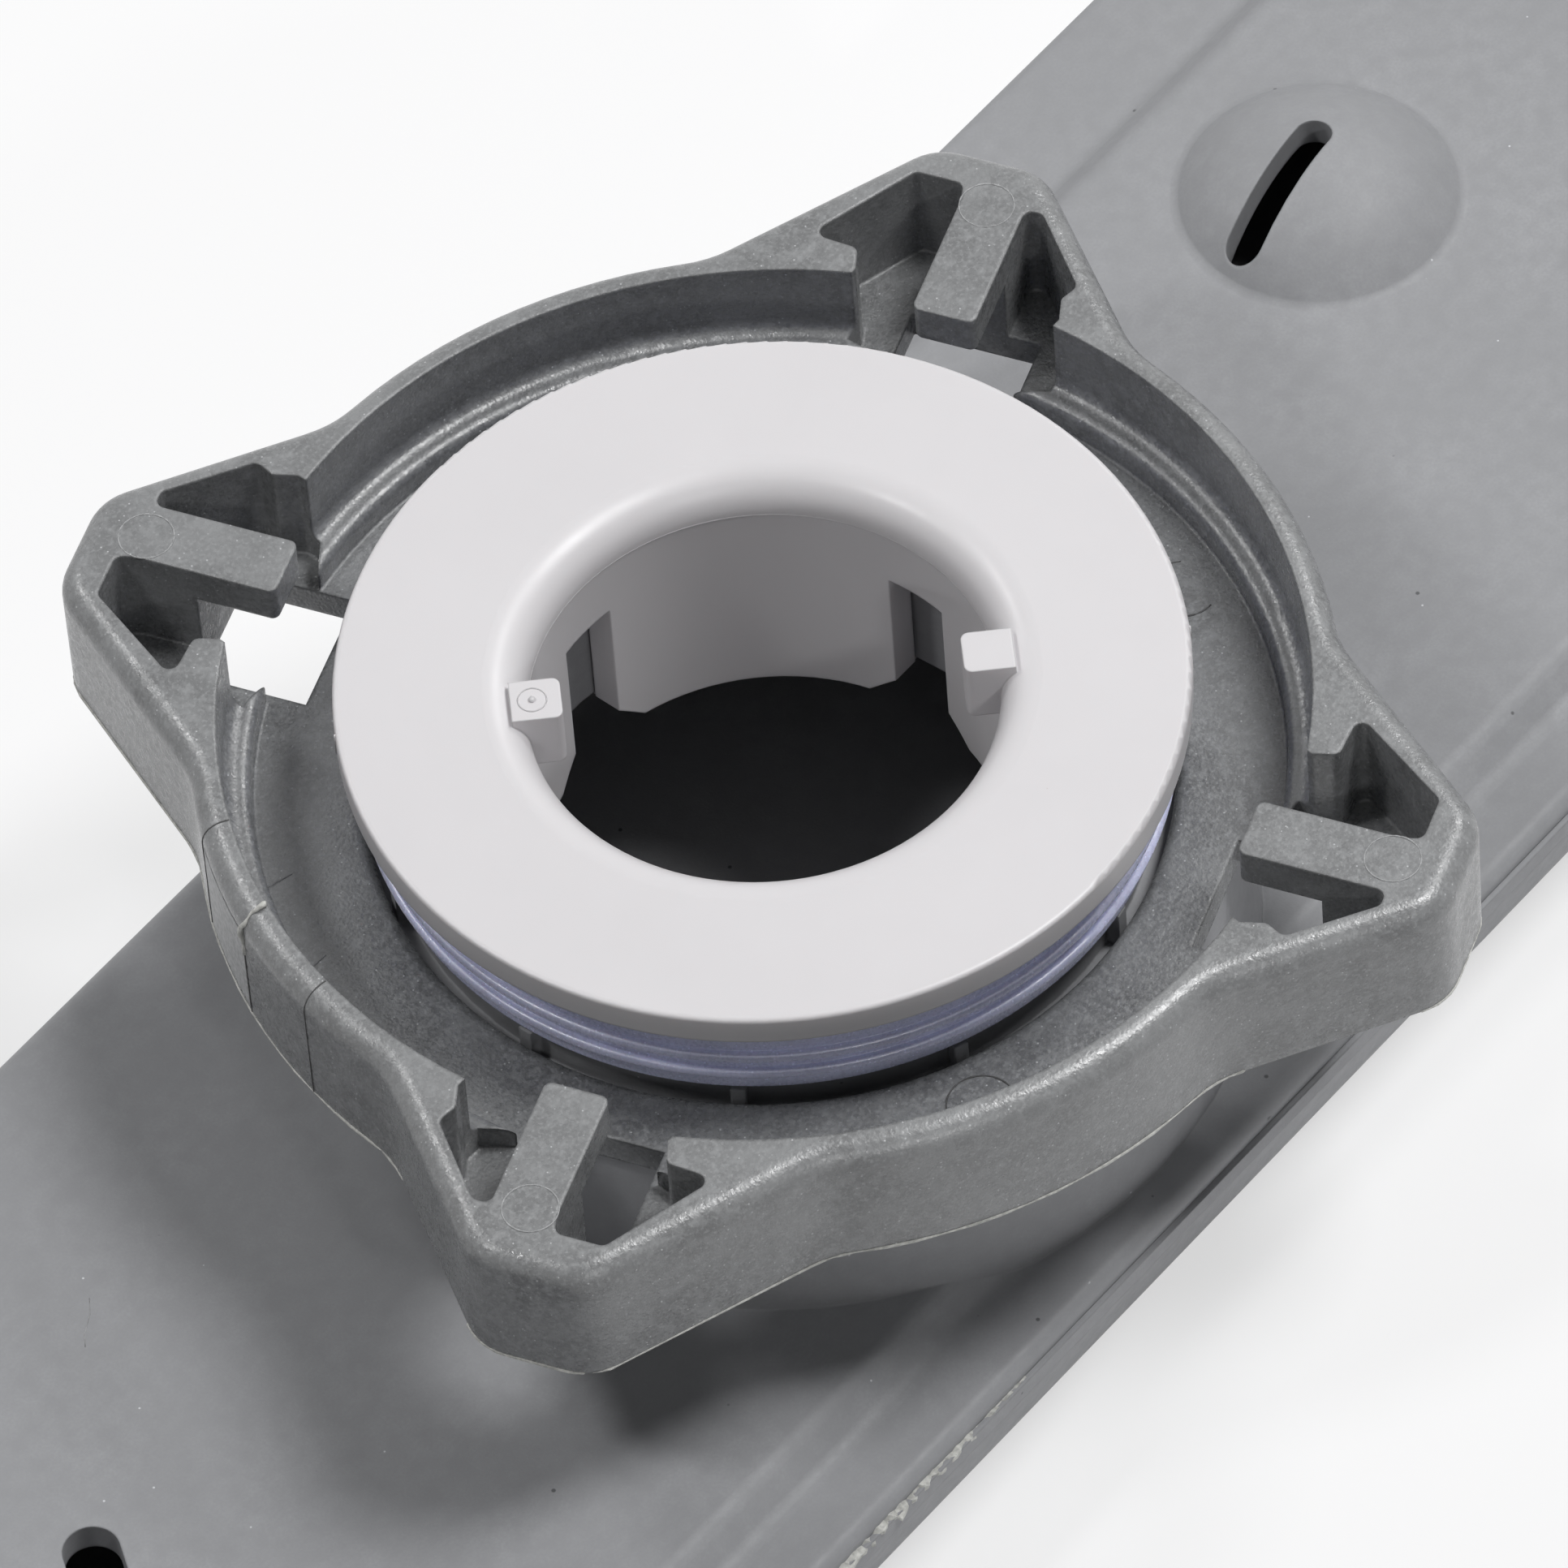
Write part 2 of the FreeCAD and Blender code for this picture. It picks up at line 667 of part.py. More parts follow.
def make_seal_ring():
    """Ring round the hub's neck, with two raised ribs on its outside."""
    body = new_body("seal_ring")
    inner = neck_radius + seal_gap
    groove = seal_radius - seal_groove
    top = neck_level - seal_gap
    points = [(inner, pilot_level), (groove, pilot_level)]
    level = pilot_level + seal_foot
    for _ in range(2):
        points.append((groove, level))
        points.append((seal_radius, level))
        points.append((seal_radius, level + seal_rib_width))
        points.append((groove, level + seal_rib_width))
        level = level + seal_rib_pitch
    points.append((groove, top))
    points.append((inner, top))
    turned(body, "Revolution", "ring", turned_profile(body, "ring_profile", points))

    def is_rib_edge(edge):
        circle_like = isinstance(edge.Curve, Part.Circle)
        return circle_like and abs(edge.Curve.Radius - seal_radius.number) < 0.01

    round_edges(body, "rib_edges", seal_rib_radius, is_rib_edge)
    return body


def make_mounting_collar():
    """Round socket with four lobes, each with a latch tongue between two open pockets."""
    body = new_body("mounting_collar")
    collar_height = collar_top_level - collar_level
    ring_radius = socket_radius + collar_wall
    ring = circle(body, "ring_outline", ring_radius, level=collar_level)
    pad(body, "ring", ring, collar_height)
    root = socket_radius - lobe_root_setback
    lobe_outline = outline(body, "lobe_outline", [
        (root, lobe_root_left),
        (root / 2, 0),
        (root, -lobe_root_right),
        (lobe_reach, -lobe_front_right, lobe_corner_radius),
        (lobe_reach, lobe_front_left, lobe_corner_radius),
    ], level=collar_level)
    lobe = pad(body, "lobe", lobe_outline, collar_height)
    around(body, "lobes", [lobe], lobe_count)
    round_edges(body, "lobe_necks", lobe_neck_radius,
                lambda edge: is_vertical(edge) and is_at_radius(edge, ring_radius))
    round_edges(body, "upper_edge", collar_edge_radius,
                lambda edge: is_level(edge, collar_top_level))
    socket = circle(body, "socket_outline", socket_radius, level=collar_top_level)
    pocket(body, "socket", socket, socket_depth - ledge_height, downward=True)
    well_radius = socket_radius - ledge_width
    well = circle(body, "well_outline", well_radius, level=collar_top_level)
    pocket(body, "well", well, socket_depth, downward=True)
    hole = circle(body, "hole_outline", hole_radius, level=floor_level)
    pocket(body, "hole", hole, collar_floor, downward=True)
    ledge_level = floor_level + ledge_height
    round_edges(body, "ledge_edge", ledge_radius,
                lambda edge: is_ring(edge, well_radius, ledge_level))
    round_edges(body, "wall_cove", cove_radius,
                lambda edge: is_ring(edge, socket_radius, ledge_level))
    round_edges(body, "floor_rim", floor_rim_radius,
                lambda edge: is_ring(edge, hole_radius, floor_level))
    add_latches(body)
    turn_body(body, collar_turn)
    return body


def add_latches(body):
    """The open pockets, the floor windows and the tongues of the four lobes."""
    corner = pocket_corner_radius
    inner = socket_radius - prong_reach
    left = outline(body, "left_pocket_outline", [
        (socket_radius + pocket_left_tip_reach, pocket_left_tip, corner),
        (socket_radius + prong_reach, prong_side, corner),
        (socket_radius - prong_hook / 2, prong_side - prong_hook),
        (inner, prong_side),
        (inner - prong_reach, tongue_left),
        (socket_radius + pocket_left_far_reach - pocket_left_root_step, tongue_left),
        (socket_radius + pocket_left_far_reach, pocket_left_root, corner),
        (socket_radius + pocket_left_far_reach, pocket_left_far, corner),
    ], level=collar_top_level)
    left_pocket = pocket(body, "left_pocket", left, socket_depth, downward=True)
    right = outline(body, "right_pocket_outline", [
        (socket_radius + pocket_right_far_reach, -tongue_right, corner),
        (inner - prong_reach, -tongue_right),
        (inner, -prong_right_side),
        (socket_radius - prong_hook / 2, -prong_right_side - prong_hook),
        (socket_radius + prong_reach, -prong_right_side, corner),
        (socket_radius + pocket_right_tip_reach, -pocket_right_tip, corner),
        (socket_radius + pocket_right_far_reach, -pocket_right_far, corner),
    ], level=collar_top_level)
    right_pocket = pocket(body, "right_pocket", right, socket_depth, downward=True)
    window_start = socket_radius - window_setback
    window_end = socket_radius + window_reach
    window_outline = outline(body, "window_outline", [
        (window_start, -window_right),
        (window_end, -window_right),
        (window_end, window_left),
        (window_start, window_left),
    ], level=collar_level)
    window_height = collar_top_level - tongue_thickness - collar_level
    window = pocket(body, "window", window_outline, window_height, downward=False)
    around(body, "latch_openings", [left_pocket, right_pocket, window], lobe_count)
    tip = socket_radius - tongue_overhang
    root = socket_radius + pocket_right_far_reach
    tongue_outline = outline(body, "tongue_outline", [
        (tip, -tongue_right, tongue_corner_radius),
        (root, -tongue_right),
        (root, tongue_left),
        (tip, tongue_left, tongue_corner_radius),
    ], level=collar_top_level)
    tongue = pad(body, "tongue", tongue_outline, tongue_thickness, downward=True)
    around(body, "tongues", [tongue], lobe_count)
    under_tip = (tip, (tongue_left - tongue_right) / 2)
    tongue_foot = collar_top_level - tongue_thickness
    round_edges(body, "tongue_noses", tongue_nose_radius,
                lambda edge: is_level(edge, tongue_foot) and is_at(edge, [under_tip]))


def is_vertical(edge):
    return isinstance(edge.Curve, Part.Line) and abs(edge.Curve.Direction.z) > 0.999


def is_at(edge, places):
    """Whether the edge stands at one of the places, or at a quarter turn of one."""
    middle = edge.BoundBox.Center
    for x, y in places:
        px, py = as_size(x).number, as_size(y).number
        for _ in range(4):
            if math.hypot(middle.x - px, middle.y - py) < 0.03:
                return True
            px, py = -py, px
    return False


def is_at_radius(edge, radius):
    middle = edge.BoundBox.Center
    return abs(math.hypot(middle.x, middle.y) - radius.number) < 0.03


def turn_body(body, angle):
    body.Placement = FreeCAD.Placement(FreeCAD.Vector(0, 0, 0),
                                       FreeCAD.Rotation(FreeCAD.Vector(0, 0, 1), angle.number))
    bind(body, "Placement.Rotation.Angle", angle)
    document.recompute()


def export(bodies):
    os.makedirs("parts", exist_ok=True)
    for body in bodies:
        body.Shape.exportStep("parts/%s.step" % body.Label)


def check(bodies):
    for item in document.Objects:
        if "Invalid" in item.State or "Error" in item.State:
            raise ValueError("%s is not well made: %s" % (item.Name, item.State))
    for body in bodies:
        if body.Shape.isNull() or not body.Shape.isValid():
            raise ValueError("%s has no valid shape" % body.Label)


made = [make_arm_lower_shell(), make_arm_upper_shell(), make_bearing_bush(), make_seal_ring(),
        make_mounting_collar()]
document.recompute()
check(made)
export(made)
for body in made:
    print(body.Label, len(body.Shape.Solids), round(body.Shape.Volume), body.Shape.BoundBox)
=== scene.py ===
"""Looks of a dishwasher spray arm: finishes, mould marks, weld flash, light and camera."""
import math
import random

import bpy
from mathutils import Matrix, Vector


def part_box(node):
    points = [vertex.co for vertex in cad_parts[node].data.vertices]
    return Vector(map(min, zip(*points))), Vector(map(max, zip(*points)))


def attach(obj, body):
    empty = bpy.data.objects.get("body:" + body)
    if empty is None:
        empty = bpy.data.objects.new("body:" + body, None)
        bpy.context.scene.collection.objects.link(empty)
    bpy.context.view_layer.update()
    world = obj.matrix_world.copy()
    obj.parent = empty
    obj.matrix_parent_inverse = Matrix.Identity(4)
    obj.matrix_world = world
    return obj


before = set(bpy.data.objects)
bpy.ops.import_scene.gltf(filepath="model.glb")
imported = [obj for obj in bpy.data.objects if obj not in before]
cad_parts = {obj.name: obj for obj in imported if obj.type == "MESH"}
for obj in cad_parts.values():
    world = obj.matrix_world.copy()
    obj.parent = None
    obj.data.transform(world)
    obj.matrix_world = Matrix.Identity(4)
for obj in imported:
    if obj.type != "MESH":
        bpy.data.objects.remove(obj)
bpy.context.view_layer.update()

MM = 0.001

# Levels and the arm's edge, read from the frame
seam_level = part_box("arm_lower_shell")[1][2]
arm_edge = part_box("arm_lower_shell")[1][1]
collar_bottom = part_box("mounting_collar")[0][2]
collar_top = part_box("mounting_collar")[1][2]
flange_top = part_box("bearing_bush")[1][2]

# Sizes that the solids have too
flange_radius = 25.0 * MM
bore_radius = 13.8 * MM
lead_in = 2.5 * MM
socket_radius = 31.9 * MM
collar_radius = 33.65 * MM
collar_edge = 1.5 * MM
collar_shoulder = collar_top - collar_edge
ledge_radius = 30.3 * MM
ledge_level = collar_top - 5.5 * MM
floor_level = collar_top - 7.3 * MM
lobe_turn = 19.3
lobe_count = 4

# Places of the mould marks: angles in degrees round the axis
witness_turns = (143.6, 155.6, 167.4)
torn_turn = witness_turns[1]
facet_start = 144.0
facet_turn = 11.3
floor_line_turns = (144.5, 157.2)
floor_mark_turns = (-114.2, -23.2)
gate_turn = 135.0
parting_turns = (137.0, -44.4)


class Nodes:
    """A short way to write a material's nodes, with its patterns placed in millimetres."""

    def __init__(self, name):
        self.material = bpy.data.materials.new(name)
        self.material.use_nodes = True
        self.tree = self.material.node_tree
        self.tree.nodes.clear()
        self.surface = self.add("ShaderNodeBsdfPrincipled")
        output = self.add("ShaderNodeOutputMaterial")
        self.link(self.surface.outputs[0], output.inputs["Surface"])
        coordinates = self.add("ShaderNodeTexCoord")
        scaled = self.add("ShaderNodeVectorMath", operation="SCALE")
        scaled.inputs["Scale"].default_value = 1 / MM
        self.link(coordinates.outputs["Object"], scaled.inputs[0])
        self.place = scaled.outputs[0]

    def add(self, kind, **settings):
        node = self.tree.nodes.new(kind)
        for name, value in settings.items():
            setattr(node, name, value)
        return node

    def link(self, output, socket):
        self.tree.links.new(output, socket)

    def set(self, socket, value):
        """Give the surface's socket one plain value."""
        self.surface.inputs[socket].default_value = value

    def feed(self, socket, output):
        """Give the surface's socket another node's output."""
        self.link(output, self.surface.inputs[socket])

    def noise(self, per_mm, detail=2.0, distortion=0.0):
        node = self.add("ShaderNodeTexNoise")
        node.inputs["Scale"].default_value = per_mm
        node.inputs["Detail"].default_value = detail
        node.inputs["Distortion"].default_value = distortion
        self.link(self.place, node.inputs["Vector"])
        return node.outputs["Fac"]

    def ramp(self, value, low, high, to_low=0.0, to_high=1.0):
        """Map a value between low and high on to another range, held at its ends."""
        node = self.add("ShaderNodeMapRange")
        for socket, number in zip(range(1, 5), (low, high, to_low, to_high)):
            node.inputs[socket].default_value = number
        self.link(value, node.inputs[0])
        return node.outputs[0]

    def math(self, operation, first, second):
        node = self.add("ShaderNodeMath", operation=operation)
        for socket, value in zip(node.inputs, (first, second)):
            if isinstance(value, (int, float)):
                socket.default_value = value
            else:
                self.link(value, socket)
        return node.outputs[0]

    def mix(self, factor, first, second):
        """Mix two colours, each a colour or another node's output."""
        node = self.add("ShaderNodeMix", data_type="RGBA")
        self.link(factor, node.inputs[0])
        for socket, value in zip((node.inputs[6], node.inputs[7]), (first, second)):
            if isinstance(value, tuple):
                socket.default_value = (*value, 1.0)
            else:
                self.link(value, socket)
        return node.outputs[2]

    def specks(self, per_mm, share, size):
        """A few small dots: cells whose own random number is below the share."""
        pattern = self.add("ShaderNodeTexVoronoi")
        pattern.inputs["Scale"].default_value = per_mm
        self.link(self.place, pattern.inputs["Vector"])
        dot = self.ramp(pattern.outputs["Distance"], size * 0.6, size, 1.0, 0.0)
        split = self.add("ShaderNodeSeparateColor")
        self.link(pattern.outputs["Color"], split.inputs[0])
        chosen = self.math("LESS_THAN", split.outputs[0], share)
        return self.math("MULTIPLY", dot, chosen)

    def soft_edges(self, radius_mm):
        node = self.add("ShaderNodeBevel", samples=6)
        node.inputs["Radius"].default_value = radius_mm * MM
        return node.outputs["Normal"]

    def bump(self, height, strength, depth_mm, normal=None):
        node = self.add("ShaderNodeBump")
        node.inputs["Strength"].default_value = strength
        node.inputs["Distance"].default_value = depth_mm * MM
        self.link(height, node.inputs["Height"])
        if normal is not None:
            self.link(normal, node.inputs["Normal"])
        return node.outputs["Normal"]


def shade(colour, factor):
    return tuple(channel * factor for channel in colour)


def make_arm_plastic():
    """Matte grey polypropylene: fine grain, slow mottling, faint dark and pale dust."""
    nodes = Nodes("arm_plastic_grey")
    grey = (0.352, 0.356, 0.370)
    slow = nodes.ramp(nodes.noise(0.045, 3.0), 0.3, 0.7)
    colour = nodes.mix(slow, shade(grey, 0.93), shade(grey, 1.06))
    patches = nodes.ramp(nodes.noise(0.16, 4.0), 0.35, 0.65, 0.0, 0.7)
    colour = nodes.mix(patches, colour, shade(grey, 0.90))
    mottle = nodes.ramp(nodes.noise(0.75, 5.0), 0.38, 0.66, 0.0, 0.75)
    colour = nodes.mix(mottle, colour, shade(grey, 0.87))
    grain = nodes.ramp(nodes.noise(5.0, 3.0), 0.3, 0.7, 0.0, 0.55)
    colour = nodes.mix(grain, colour, shade(grey, 0.84))
    dark_dust = nodes.specks(0.55, 0.09, 0.09)
    colour = nodes.mix(dark_dust, colour, shade(grey, 0.35))
    pale_dust = nodes.specks(0.80, 0.06, 0.07)
    colour = nodes.mix(pale_dust, colour, shade(grey, 1.9))
    nodes.feed("Base Color", colour)
    nodes.feed("Roughness", nodes.ramp(nodes.noise(1.4, 2.0), 0.3, 0.7, 0.44, 0.56))
    skin = nodes.bump(nodes.noise(0.12, 2.0), 0.35, 0.12, nodes.soft_edges(0.25))
    nodes.feed("Normal", nodes.bump(nodes.noise(7.0, 2.0), 0.30, 0.02, skin))
    nodes.set("Specular IOR Level", 0.25)
    return nodes.material


def make_collar_plastic():
    """Filled dark nylon: cloudy flow marks and short fibres, whose glint is painted in as bright
    specks.
    """
    nodes = Nodes("collar_plastic_dark")
    grey = (0.180, 0.184, 0.188)
    flow = nodes.ramp(nodes.noise(0.20, 4.0, distortion=0.6), 0.32, 0.68)
    colour = nodes.mix(flow, shade(grey, 0.74), shade(grey, 1.18))
    frost = nodes.ramp(nodes.noise(1.3, 4.0), 0.46, 0.72)
    colour = nodes.mix(frost, colour, shade(grey, 1.30))
    grain = nodes.ramp(nodes.noise(4.2, 3.0), 0.52, 0.74)
    colour = nodes.mix(grain, colour, shade(grey, 1.55))
    # Pale fibre specks raised to nearly three times the grey: the fibres' own paleness with a painted
    # glint on top.
    fibres_and_painted_glints = nodes.specks(4.6, 0.045, 0.30)
    colour = nodes.mix(fibres_and_painted_glints, colour, shade(grey, 2.9))
    nodes.feed("Base Color", colour)
    nodes.feed("Roughness", nodes.ramp(nodes.noise(2.6, 4.0), 0.35, 0.65, 0.20, 0.40))
    skin = nodes.bump(nodes.noise(0.9, 3.0), 0.25, 0.08, nodes.soft_edges(0.35))
    nodes.feed("Normal", nodes.bump(nodes.noise(4.4, 4.0), 0.72, 0.050, skin))
    nodes.set("Specular IOR Level", 0.80)
    return nodes.material


def make_bush_plastic():
    """Smooth pale warm grey acetal with a soft gloss and a rare dust speck."""
    nodes = Nodes("bush_plastic_pale")
    pale = (0.70, 0.685, 0.70)
    dust = (0.42, 0.30, 0.27)
    slow = nodes.ramp(nodes.noise(0.06, 2.0), 0.3, 0.7)
    colour = nodes.mix(slow, shade(pale, 0.985), shade(pale, 1.015))
    colour = nodes.mix(nodes.specks(0.30, 0.10, 0.030), colour, dust)
    nodes.feed("Base Color", colour)
    nodes.feed("Roughness", nodes.ramp(nodes.noise(0.5, 2.0), 0.3, 0.7, 0.33, 0.41))
    skin = nodes.bump(nodes.noise(0.10, 2.0), 0.20, 0.06, nodes.soft_edges(0.18))
    nodes.feed("Normal", nodes.bump(nodes.noise(4.0, 2.0), 0.10, 0.01, skin))
    nodes.set("Subsurface Weight", 0.12)
    nodes.set("Subsurface Radius", (1.0, 0.85, 0.8))
    nodes.set("Subsurface Scale", 1.2 * MM)
    nodes.set("Specular IOR Level", 0.5)
    return nodes.material


def make_seal_rubber():
    """Blue-grey rubber, slightly glossy, with a finely pitted skin."""
    nodes = Nodes("seal_rubber_blue")
    blue = (0.58, 0.60, 0.80)
    slow = nodes.ramp(nodes.noise(0.35, 3.0), 0.3, 0.7)
    colour = nodes.mix(slow, shade(blue, 0.92), shade(blue, 1.08))
    colour = nodes.mix(nodes.specks(4.0, 0.22, 0.30), colour, shade(blue, 1.45))
    nodes.feed("Base Color", colour)
    nodes.feed("Roughness", nodes.ramp(nodes.noise(4.0, 2.0), 0.3, 0.7, 0.20, 0.38))
    nodes.feed("Normal", nodes.bump(nodes.noise(6.0, 2.0), 0.45, 0.03, nodes.soft_edges(0.12)))
    nodes.set("Subsurface Weight", 0.08)
    nodes.set("Subsurface Scale", 1.0 * MM)
    nodes.set("Specular IOR Level", 1.0)
    return nodes.material


def make_mark_plastic(name, colour):
    """Uneven plastic in one colour, for flash, lines and other marks of the mould."""
    nodes = Nodes(name)
    uneven = nodes.ramp(nodes.noise(3.0, 3.0), 0.35, 0.65)
    nodes.feed("Base Color", nodes.mix(uneven, shade(colour, 0.72), shade(colour, 1.15)))
    nodes.feed("Normal", nodes.bump(nodes.noise(4.0, 2.0), 0.4, 0.05))
    nodes.set("Roughness", 0.5)
    return nodes.material


def add_mesh(name, vertices, faces, material, body, smooth=True):
    """Make one extra piece that rides on a body and shares a record's finish."""
    mesh = bpy.data.meshes.new(name)
    mesh.from_pydata(vertices, [], faces)
    mesh.validate()
    mesh.update()
    if smooth:
        mesh.shade_smooth()
    mesh.materials.append(material)
    piece = bpy.data.objects.new(name, mesh)
    bpy.context.scene.collection.objects.link(piece)
    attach(piece, body)


def bead_mesh(path, radii, closed=False, sides=6):
    """Vertices and faces of a round bead along a path, with one radius for each point."""
    unlike_any_path = Vector((0.31, 0.17, 0.93))
    vertices = []
    count = len(path)
    for index, point in enumerate(path):
        before = path[index - 1] if closed or index else point
        after = path[(index + 1) % count] if closed or index < count - 1 else point
        along = (after - before).normalized()
        side = along.cross(unlike_any_path).normalized()
        lift = side.cross(along)
        for step in range(sides):
            angle = 2 * math.pi * step / sides
            vertices.append(point + (side * math.cos(angle) + lift * math.sin(angle)) * radii[index])
    faces = []
    for index in range(count if closed else count - 1):
        start = index * sides
        finish = (index + 1) % count * sides
        for step in range(sides):
            other = (step + 1) % sides
            faces.append((start + step, start + other, finish + other, finish + step))
    if not closed:
        faces.append(tuple(reversed(range(sides))))
        faces.append(tuple(range((count - 1) * sides, count * sides)))
    return vertices, faces


def add_bead(name, path, radius, material, body, closed=False, roughness=0.0, seed=1):
    """A bead whose thickness wavers by the roughness, from a seeded draw."""
    draw = random.Random(seed)
    radii = [radius * (1 + roughness * draw.uniform(-1, 1)) for _ in path]
    vertices, faces = bead_mesh(path, radii, closed)
    add_mesh(name, vertices, faces, material, body)


def polar(radius, degrees, level):
    angle = math.radians(degrees)
    return Vector((radius * math.cos(angle), radius * math.sin(angle), level))


def arc(centre, radius, start, finish, count):
    """Points on a level arc about a centre, from one angle in degrees to another."""
    step = (finish - start) / (count - 1)
    return [centre + polar(radius, start + step * index, 0) for index in range(count)]


def ring(centre, radius, count):
    """Points on a whole level circle about a centre."""
    return arc(centre, radius, 0, 360 - 360 / count, count)


# Finishes of the carried-over pieces and of the marks
arm_plastic = make_arm_plastic()
collar_plastic = make_collar_plastic()
bush_plastic = make_bush_plastic()
seal_rubber = make_seal_rubber()
pale_flash = make_mark_plastic("pale_flash", (0.56, 0.56, 0.53))
thin_line = make_mark_plastic("thin_line", (0.36, 0.365, 0.37))
# The insert facet's colour, twice the collar's grey: a painted sheen on the strip.
facet_painted_sheen = make_mark_plastic("facet_painted_sheen", (0.36, 0.365, 0.37))
dark_line = make_mark_plastic("dark_line", (0.060, 0.060, 0.060))
finishes = {
    "arm_upper_shell": arm_plastic,
    "arm_lower_shell": arm_plastic,
    "mounting_collar": collar_plastic,
    "bearing_bush": bush_plastic,
    "seal_ring": seal_rubber,
}
for node, finish in finishes.items():
    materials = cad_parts[node].data.materials
    materials.clear()
    materials.append(finish)


def wall_section(degrees, lift):
    """Points up a collar wall's section, from the socket's rim over and down outside."""
    inner_drop = 0.25 * MM
    inner_chamfer = 0.1 * MM
    edge_steps = 6
    wall_steps = 8
    edge_middle = collar_radius - collar_edge
    points = [polar(socket_radius, degrees, collar_top - inner_drop)]
    points.append(polar(socket_radius + inner_chamfer, degrees, collar_top + lift))
    for step in range(edge_steps + 1):
        turn = math.pi / 2 * (1 - step / edge_steps)
        reach = edge_middle + (collar_edge + lift) * math.cos(turn)
        level = collar_shoulder + (collar_edge + lift) * math.sin(turn)
        points.append(polar(reach, degrees, level))
    for step in range(1, wall_steps + 1):
        level = collar_shoulder - (collar_shoulder - collar_bottom) * step / wall_steps
        points.append(polar(collar_radius + lift, degrees, level))
    return points


def add_witness_lines():
    """Lines of the mould's insert on the collar's wall."""
    for index, degrees in enumerate(witness_turns):
        path = wall_section(degrees, 0.01 * MM)
        add_bead("witness_line_%d" % index, path, 0.045 * MM, dark_line, "collar",
                 roughness=0.3, seed=11 + index)


def add_torn_flash():
    """Torn flash over the rim and a little down the wall, at the middle witness line."""
    stray = 0.08
    rim_and_upper_wall = slice(1, 11)
    torn = wall_section(torn_turn, 0.05 * MM)[rim_and_upper_wall]
    draw = random.Random(5)
    torn = [point + Vector([draw.uniform(-stray, stray) * MM for _ in range(3)]) for point in torn]
    add_bead("torn_flash", torn, 0.15 * MM, pale_flash, "collar",
             roughness=0.6, seed=6)


def add_floor_lines():
    """Fine lines from the ledge, over its edge and out on to the socket's floor."""
    corners = (
        (31.0 * MM, 0.0, ledge_level),
        (ledge_radius, 0.8, ledge_level - 0.4 * MM),
        (ledge_radius - 0.05 * MM, 1.0, floor_level + 0.1 * MM),
        (28.6 * MM, 2.2, floor_level),
    )
    for index, degrees in enumerate(floor_line_turns):
        path = [polar(radius, degrees - slip, level) for radius, slip, level in corners]
        add_bead("floor_line_%d" % index, path, 0.03 * MM, thin_line, "collar")


def add_insert_facet():
    """The strip that the mould's insert left between two witness lines, its lighter tone a painted
    sheen.
    """
    low = collar_bottom + 0.6 * MM
    high = collar_shoulder - 0.2 * MM
    reach = collar_radius + 0.012 * MM
    strips = 12
    vertices = []
    for step in range(strips + 1):
        degrees = facet_start + facet_turn * step / strips
        vertices += [polar(reach, degrees, level) for level in (low, high)]
    faces = [(step * 2, step * 2 + 2, step * 2 + 3, step * 2 + 1) for step in range(strips)]
    add_mesh("insert_facet", vertices, faces, facet_painted_sheen, "collar")


def add_ejector_marks():
    """Faint rings that the ejector pins left on the lobes and on the socket's floor."""
    lobe_reach = 38.6 * MM
    lobe_pin = 1.65 * MM
    floor_reach = 27.4 * MM
    floor_pin = 2.05 * MM
    for index in range(lobe_count):
        centre = polar(lobe_reach, lobe_turn + 360 / lobe_count * index, collar_top)
        add_bead("lobe_mark_%d" % index, ring(centre, lobe_pin, 48), 0.05 * MM, thin_line,
                 "collar", closed=True, roughness=0.4, seed=20 + index)
    for index, degrees in enumerate(floor_mark_turns):
        centre = polar(floor_reach, degrees, floor_level)
        path = arc(centre, floor_pin, degrees + 65, degrees + 295, 40)
        add_bead("floor_mark_%d" % index, path, 0.05 * MM, dark_line, "collar",
                 roughness=0.3, seed=30 + index)


def outer_loop(node, level, inner_radius):
    """The points of a node's outer edge at a level, in order round the axis."""
    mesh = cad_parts[node].data
    near = 0.02 * MM
    found = {}
    for vertex in mesh.vertices:
        place = vertex.co
        if abs(place.z - level) < near and place.xy.length > inner_radius:
            key = round(math.degrees(math.atan2(place.y, place.x)), 2)
            if key not in found or found[key].xy.length < place.xy.length:
                found[key] = place.copy()
    return [found[key] for key in sorted(found)]


def add_lower_flash():
    """The thin pale bead of flash along the collar's lower outer edge."""
    inside_wall = 33.2 * MM
    lift = Vector((0, 0, 0.03 * MM))
    path = [point + lift for point in outer_loop("mounting_collar", collar_bottom, inside_wall)]
    add_bead("lower_flash", path, 0.085 * MM, pale_flash, "collar", closed=True,
             roughness=0.5, seed=41)


